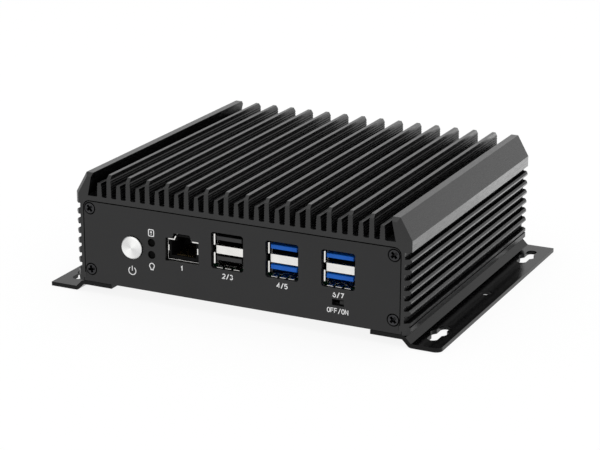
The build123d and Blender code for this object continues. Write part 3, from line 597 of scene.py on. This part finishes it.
# three tabs bent down at the foot of the shell, as (y, z) from its underside
TAB = [(-66.4, 0.0), (-66.4, 0.3), (-68.5, 0.3), (-69.7, 0.1), (-69.7, -0.15), (-68.5, 0.0)]
TAB_PITCH, TAB_HALF = 3.9, 1.4
TONGUE_Z, TONGUE_HALF, TONGUE_CHAMFER = (24.55, 33.35), (6.0, 0.95), 0.15
TONGUE_TIP_Y, TONGUE_SHOULDER_Y, TONGUE_ROOT_Y = -68.7, -68.5, -57.0
CORE_HALF, CORE_Y = (6.25, 7.05), (TONGUE_ROOT_Y, -51.4)
CORE_BAR_HALF, CORE_BAR_Y = (6.25, 1.7), (-66.35, TONGUE_ROOT_Y)
CONTACT_PITCH, CONTACT_HALF, CONTACT_Y = 2.3, 0.5, (-67.8, -60.8)
CONTACT_Z = (-1.1, -0.95)


def port_shell(side, x):
    shell = Solid()
    outside = box_round(x, STACK_Z, *SHELL_HALF)
    inside = box_round(x, STACK_Z, *[half - SHELL_WALL for half in SHELL_HALF])
    shell.prism(SHELL_MOUTH_Y, SHELL_END_Y, [outside, inside])
    shell.prism(SHELL_END_Y, SHELL_BACK_Y, [outside])
    shell.prism(*BAR_Y, [box_round(x, STACK_Z, *BAR_HALF)])
    for low, high in RIM_SPANS:
        for turn in (-1, 1):
            rim, arm = ([(x + turn * a, b) for a, b in points] for points in (RIM, RIM_ARM))
            shell.prism(low, high, [rim], axis=Z_AXIS)
            for foot in (low + 0.1, high - 0.1 - RIM_ARM_HEIGHT):
                shell.prism(foot, foot + RIM_ARM_HEIGHT, [arm], axis=Z_AXIS)
    tab = [(y, STACK_LOW + z) for y, z in TAB]
    for k in (-1, 0, 1):
        middle = x + k * TAB_PITCH
        shell.prism(middle - TAB_HALF, middle + TAB_HALF, [tab], axis=X_AXIS)
    shell.finish(f"{side}_port_shell", "shell_silver", stands_for=f"{side}_stack_shell")


def port_tongues(side, x, slot):
    tongues = Solid()
    for z in TONGUE_Z:
        full = box_round(x, z, *TONGUE_HALF)
        tip = box_round(x, z, *[half - TONGUE_CHAMFER for half in TONGUE_HALF])
        tongues.prism(TONGUE_TIP_Y, TONGUE_SHOULDER_Y, [tip], [full])
        tongues.prism(TONGUE_SHOULDER_Y, TONGUE_ROOT_Y, [full])
    tongues.finish(f"{side}_port_tongues", slot, stands_for=f"{side}_stack_insert")


# the core takes the near-black material, darker than its slot: painted shade deep in the port
def port_core_painted_shade(side, x):
    core = Solid()
    core.prism(*CORE_Y, [box_round(x, STACK_Z, *CORE_HALF)])
    core.prism(*CORE_BAR_Y, [box_round(x, STACK_Z, *CORE_BAR_HALF)])
    core.finish(f"{side}_port_core_painted_shade", "port_grey", "port_core_painted_shade")


def port_contacts(side, x):
    contacts = Solid()
    for z in TONGUE_Z:
        for k in range(4):
            across = x + (k - 1.5) * CONTACT_PITCH
            low, high = (z + offset for offset in CONTACT_Z)
            contacts.prism(*CONTACT_Y, [
                box_loop((across - CONTACT_HALF, low), (across + CONTACT_HALF, high))])
    contacts.finish(f"{side}_port_contacts", "contact_gold", stands_for=f"{side}_stack_contacts")


for side, x in STACKS.items():
    port_shell(side, x)
    port_tongues(side, x, "port_grey" if side == "left" else "port_blue")
    port_core_painted_shade(side, x)
    port_contacts(side, x)


# ---------------------------------------------------------------- modular jack
JACK_CASE_Y, JACK_WALL = (-67.9, -51.5), 0.3
# the rim before the case, open above the notch: right half of its outer and inner line
JACK_RIM_Y = (-68.9, -67.9)
JACK_RIM_OUTER = [(3.88, 31.44), (4.6, 30.0), (7.55, 30.0), (7.55, BOARD_TOP)]
JACK_RIM_INNER = [(7.25, 21.0), (7.25, 29.5), (4.29, 29.5), (3.43, 31.22)]
SPRING_X, SPRING_Z, SPRING_Y = (6.7, 7.2), (24.6, 27.2), (-69.2, -68.6)
JACK_MOUTH_RIGHT = [(5.95, 22.6), (5.95, 29.3), (3.1, 29.3), (3.1, 31.2)]
JACK_CORE_FRONT_Y, JACK_MOUTH_END_Y, JACK_CORE_BACK_Y = -68.6, -57.4, -51.8
JACK_CORE_INSET = 0.5

case = Solid()
case.prism(*JACK_CASE_Y, [jack_loop(0.0), jack_loop(-JACK_WALL)])
rim = JACK_RIM_OUTER + left_half(JACK_RIM_OUTER) + left_half(JACK_RIM_INNER) + JACK_RIM_INNER
case.prism(*JACK_RIM_Y, [at_jack(rim)])
for turn in (-1, 1):
    near, far = sorted(JACK_X + turn * x for x in SPRING_X)
    case.prism(*SPRING_Y, [box_loop((near, SPRING_Z[0]), (far, SPRING_Z[1]))])
case.finish("com_jack_case", "shell_silver", stands_for="com_jack_shell")
core = Solid()
core_loop = jack_loop(-JACK_CORE_INSET)
core.prism(JACK_CORE_FRONT_Y, JACK_MOUTH_END_Y, [core_loop, at_jack(mirrored(JACK_MOUTH_RIGHT))])
core.prism(JACK_MOUTH_END_Y, JACK_CORE_BACK_Y, [core_loop])
core.finish("com_jack_core", "jack_black", stands_for="com_jack_insert")


# ---------------------------------------------------------------- brackets
SHEET = 1.8
BEND_RADIUS = 1.5
FLANGE_X = 91.5
# the centre line of the sheet: under the case, down the bend and out along the flange
SHEET_LINE = [(60.9, 4.1), (75.3, 4.1), (78.5, 0.9), (FLANGE_X, 0.9)]
FLANGE_CUT_Z, LEG_CUT_Z = (-1.0, 3.0), (3.1, 5.1)
KEY_X, KEY_Y = 84.4, 53.7
KEY_HALF, KEY_REACH, KEY_ROUND = 2.2, 7.0, 3.65
MIDDLE_HOLE = 2.7
CORNER_RADIUS, CUT_MARGIN = 3.0, 1.0
LEG_SCREW_Y, LEG_SINK_RADIUS, LEG_HOLE_RADIUS = 45, 3.1, 1.6
LEG_SCREW_HEAD = 2.8
leg_screw_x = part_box("bracket_screws")[1][0] / MM - LEG_SCREW_HEAD


def bent_sheet(points, radius, steps=6):
    """Outline of a bent sheet round its centre line, with an arc at each bend."""
    near, far = [], []
    headings = [math.atan2(b[1] - a[1], b[0] - a[0]) for a, b in zip(points, points[1:])]

    def add(x, z, heading):
        nx, nz = -math.sin(heading) * SHEET / 2, math.cos(heading) * SHEET / 2
        near.append((x + nx, z + nz))
        far.append((x - nx, z - nz))

    add(*points[0], headings[0])
    for k in range(1, len(points) - 1):
        before, after = headings[k - 1], headings[k]
        turn = after - before
        bend = radius if turn > 0 else -radius
        reach = radius * math.tan(abs(turn) / 2)
        x = points[k][0] - reach * math.cos(before)
        z = points[k][1] - reach * math.sin(before)
        centre = (x - bend * math.sin(before), z + bend * math.cos(before))
        for step in range(steps + 1):
            heading = before + turn * step / steps
            add(
                centre[0] + bend * math.sin(heading),
                centre[1] - bend * math.cos(heading),
                heading,
            )
    add(*points[-1], headings[-1])
    return near + list(reversed(far))


def keyhole(x, y):
    """A slot along the depth with a wider round in its middle."""
    turn = math.degrees(math.acos(KEY_HALF / KEY_ROUND))
    points = arc((x, y), KEY_ROUND, -turn, turn, 12)
    points += arc((x, y + KEY_REACH), KEY_HALF, 0, 180, 14)
    points += arc((x, y), KEY_ROUND, 180 - turn, 180 + turn, 12)
    points += arc((x, y - KEY_REACH), KEY_HALF, 180, 360, 14)
    return points


def bracket_cutter(side):
    """The openings of one bracket and the round of its one rounded corner."""
    cutter = Solid()
    for y in (-KEY_Y, KEY_Y):
        cutter.prism(*FLANGE_CUT_Z, [keyhole(side * KEY_X, y)], axis=Z_AXIS)
    cutter.prism(*FLANGE_CUT_Z, [circle((side * KEY_X, 0), MIDDLE_HOLE)], axis=Z_AXIS)
    # the right bracket is rounded at its front corner and the left one at its rear corner
    middle_x, middle_y = FLANGE_X - CORNER_RADIUS, -FRONT_Y - CORNER_RADIUS
    past_x, past_y = FLANGE_X + CUT_MARGIN, -FRONT_Y + CUT_MARGIN
    corner = [(past_x, past_y), (past_x, middle_y)]
    corner += arc((middle_x, middle_y), CORNER_RADIUS, 0, 90, 10)
    corner += [(middle_x, past_y)]
    cutter.prism(*FLANGE_CUT_Z, [[(side * x, -side * y) for x, y in corner]], axis=Z_AXIS)
    for y in (-LEG_SCREW_Y, LEG_SCREW_Y):
        spot = (side * leg_screw_x, y)
        cutter.prism(
            *LEG_CUT_Z, [circle(spot, LEG_SINK_RADIUS)], [circle(spot, LEG_HOLE_RADIUS)],
            axis=Z_AXIS,
        )
    return cutter.mesh("cutter")


def cut_out(piece, cutter_mesh):
    tool = new_object("cutter", cutter_mesh)
    cut = piece.modifiers.new("cut", "BOOLEAN")
    cut.operation = "DIFFERENCE"
    cut.solver = "EXACT"
    cut.object = tool
    seen = piece.evaluated_get(bpy.context.evaluated_depsgraph_get())
    shape = bpy.data.meshes.new_from_object(seen)
    piece.modifiers.clear()
    piece.data = shape
    bpy.data.objects.remove(tool)


for side, hand in ((1, "right"), (-1, "left")):
    sheet = Solid()
    sheet.prism(FRONT_Y, -FRONT_Y, [bent_sheet(SHEET_LINE, BEND_RADIUS)])
    sheet.vertices = [(side * x, y, z) for x, y, z in sheet.vertices]
    plate = sheet.finish(f"{hand}_bracket_sheet", "bracket_black", stands_for=f"{hand}_bracket")
    cut_out(plate, bracket_cutter(side))


# ---------------------------------------------------------------- printed marks
INK_THICKNESS = 0.03
INK_SINK = 0.01
INK_LINE = 0.42
SWITCH_LINE = 0.36
SHARPEST_MITRE = 0.4


class Print:
    """Collects flat strokes on the front panel into one thin raised piece."""

    def __init__(self):
        self.vertices = []
        self.faces = []

    def prism(self, outline):
        """A closed outline (x, z), counter-clockwise from the front, as a thin solid."""
        start = len(self.vertices)
        count = len(outline)
        for y in (FRONT_Y - INK_THICKNESS, FRONT_Y + INK_SINK):
            self.vertices += [(x, y, z) for x, z in outline]
        self.faces.append(list(range(start, start + count)))
        self.faces.append([start + count + k for k in reversed(range(count))])
        for k in range(count):
            n = (k + 1) % count
            self.faces.append([start + k, start + count + k, start + count + n, start + n])

    def stroke(self, points, width=INK_LINE, closed=False):
        """A line of even width along the points, with mitred joints."""
        count = len(points)
        left, right = [], []
        for k, (x, z) in enumerate(points):
            before = points[k - 1] if (k > 0 or closed) else None
            after = points[(k + 1) % count] if (k < count - 1 or closed) else None
            directions = []
            for a, b in ((before, (x, z)), ((x, z), after)):
                if a is not None and b is not None:
                    directions.append(Vector((b[0] - a[0], b[1] - a[1])).normalized())
            mean = sum(directions, Vector((0, 0))).normalized()
            normal = Vector((-mean.y, mean.x))
            first = Vector((-directions[0].y, directions[0].x))
            stretch = 1.0 / max(SHARPEST_MITRE, abs(normal.dot(first)))
            offset = normal * width / 2 * stretch
            left.append((x + offset.x, z + offset.y))
            right.append((x - offset.x, z - offset.y))
        for k in range(count if closed else count - 1):
            n = (k + 1) % count
            self.prism([right[k], right[n], left[n], left[k]])

    def text(self, word, x, z, height=1.9, width=1.25, gap=0.5, line=INK_LINE):
        for letter in word:
            for path in GLYPHS[letter]:
                closed = path[0] == path[-1] and len(path) > 2
                path = path[:-1] if closed else path
                self.stroke([(x + a * width, z + b * height) for a, b in path], line, closed)
            x += width + gap


# the strokes of each sign, in a square of side 1
GLYPHS = {
    "O": [oval((0.5, 0.5), (0.5, 0.5), 90, 450, 20)],
    "F": [[(0.0, 0.0), (0.0, 1.0), (0.95, 1.0)], [(0.0, 0.52), (0.8, 0.52)]],
    "N": [[(0.0, 0.0), (0.0, 1.0), (1.0, 0.0), (1.0, 1.0)]],
    "/": [[(0.1, -0.12), (0.9, 1.12)]],
    "1": [[(0.15, 0.76), (0.55, 1.0), (0.55, 0.0)]],
    "2": [oval((0.5, 0.70), (0.46, 0.30), 165, -35, 10) + [(0.0, 0.0), (1.0, 0.0)]],
    "3": [
        oval((0.45, 0.75), (0.42, 0.25), 150, -90, 10),
        oval((0.45, 0.26), (0.5, 0.26), 90, -150, 12),
    ],
    "4": [[(0.72, 0.0), (0.72, 1.0), (0.0, 0.28), (1.0, 0.28)]],
    "5": [
        [(0.92, 1.0), (0.12, 1.0), (0.06, 0.56)]
        + oval((0.46, 0.32), (0.5, 0.32), 120, -150, 14),
    ],
    "6": [
        oval((0.5, 0.32), (0.46, 0.32), 0, 360, 18),
        [(0.06, 0.36), (0.2, 0.72), (0.62, 1.0)],
    ],
    "7": [[(0.0, 1.0), (1.0, 1.0), (0.36, 0.0)]],
}

marks = Print()
# power symbol under the button
marks.stroke(arc((-50.3, 13.2), 1.75, 125, 415, 28))
marks.stroke([(-50.3, 13.2), (-50.3, 15.4)])
# storage mark above the lights: a card with two dots
card = arc((-39.9, 30.6), 0.5, -90, 0, 4) + arc((-39.9, 32.5), 0.5, 0, 90, 4)
card += arc((-41.4, 32.5), 0.5, 90, 180, 4) + arc((-41.4, 30.6), 0.5, 180, 270, 4)
marks.stroke(card, closed=True)
marks.prism(circle((-40.65, 31.9), 0.42, 12))
marks.prism(circle((-40.65, 31.0), 0.26, 10))
# lamp mark below the lights
marks.stroke(arc((-40.55, 16.85), 1.15, -58, 238, 22))
marks.stroke([(-41.15, 15.85), (-41.1, 15.15), (-40.0, 15.15), (-39.95, 15.85)])
# plain port numbers
marks.text("1", -26.6, 16.95)
marks.text("2/3", -6.6, 16.6)
marks.text("4/5", 18.8, 16.6)
marks.text("6/7", 44.2, 16.6)
# switch positions
marks.text("OFF/ON", 41.7, 9.75, width=1.2, gap=0.42, line=SWITCH_LINE)
new_piece(
    "front_marks", new_mesh("front_marks", marks.vertices, marks.faces), "ink")


# ---------------------------------------------------------------- floor and light
FLOOR_HALF = 6.0
FLOOR_DROP = 0.0002
FLOOR_GREY = 0.12
# what the floor gives off towards the camera and mirrors, and towards everything else
FLOOR_SEEN, FLOOR_FILL = 0.88, 0.55
# the same two of the world
WORLD_SEEN, WORLD_FILL = 1.0, 0.80


def seen_ray(tree):
    """1 for rays from the camera, off mirrors and through glass, 0 for all others."""
    path = tree.nodes.new("ShaderNodeLightPath")
    seen, bounced = (tree.nodes.new("ShaderNodeMath") for _ in range(2))
    seen.operation = bounced.operation = "MAXIMUM"
    tree.links.new(path.outputs["Is Camera Ray"], seen.inputs[0])
    tree.links.new(path.outputs["Is Glossy Ray"], bounced.inputs[0])
    tree.links.new(path.outputs["Is Transmission Ray"], bounced.inputs[1])
    tree.links.new(bounced.outputs[0], seen.inputs[1])
    return seen.outputs[0]


def stage_floor():
    s = FLOOR_HALF
    mesh = bpy.data.meshes.new("floor")
    mesh.from_pydata([(-s, -s, 0), (s, -s, 0), (s, s, 0), (-s, s, 0)], [], [(0, 1, 2, 3)])
    floor = new_object("floor", mesh)
    floor.location.z = -FLOOR_DROP
    material = bpy.data.materials.new("floor")
    material.use_nodes = True
    tree = material.node_tree
    tree.nodes.clear()
    output = tree.nodes.new("ShaderNodeOutputMaterial")
    diffuse = tree.nodes.new("ShaderNodeBsdfDiffuse")
    diffuse.inputs["Color"].default_value = (FLOOR_GREY, FLOOR_GREY, FLOOR_GREY, 1)
    pick = tree.nodes.new("ShaderNodeMixShader")
    tree.links.new(seen_ray(tree), pick.inputs[0])
    for socket, strength in ((pick.inputs[1], FLOOR_FILL), (pick.inputs[2], FLOOR_SEEN)):
        glow = tree.nodes.new("ShaderNodeEmission")
        glow.inputs["Strength"].default_value = strength
        tree.links.new(glow.outputs[0], socket)
    both = tree.nodes.new("ShaderNodeAddShader")
    tree.links.new(pick.outputs[0], both.inputs[0])
    tree.links.new(diffuse.outputs[0], both.inputs[1])
    tree.links.new(both.outputs[0], output.inputs["Surface"])
    mesh.materials.append(material)


def world_light():
    world = bpy.data.worlds.new("world")
    bpy.context.scene.world = world
    world.use_nodes = True
    tree = world.node_tree
    tree.nodes.clear()
    output = tree.nodes.new("ShaderNodeOutputWorld")
    background = tree.nodes.new("ShaderNodeBackground")
    background.inputs["Color"].default_value = (1, 1, 1, 1)
    strength = tree.nodes.new("ShaderNodeMapRange")
    strength.inputs["To Min"].default_value = WORLD_FILL
    strength.inputs["To Max"].default_value = WORLD_SEEN
    tree.links.new(seen_ray(tree), strength.inputs["Value"])
    tree.links.new(strength.outputs["Result"], background.inputs["Strength"])
    tree.links.new(background.outputs[0], output.inputs["Surface"])


def softbox(name, place, target, size, radiance):
    light = bpy.data.lights.new(name, "AREA")
    light.shape = "RECTANGLE"
    light.size, light.size_y = size
    light.energy = radiance * math.pi * size[0] * size[1]
    lamp = new_object(name, light)
    lamp.location = place
    aim = Vector(target) - Vector(place)
    lamp.rotation_euler = aim.to_track_quat("-Z", "Y").to_euler()
    lamp.visible_camera = False


stage_floor()
world_light()
softbox("top", (0.0, 0.1, 1.4), (0, 0, 0.03), (1.4, 1.2), 1.2)
# two lamps that lie on the floor at the right and look straight up, for the side fins
softbox("right_low", (0.18, 0.23, 0.001), (0.18, 0.23, 1.0), (0.17, 0.56), 0.9)
softbox("right_back", (0.18, 0.32, 0.0008), (0.18, 0.32, 1.0), (0.17, 0.38), 0.6)
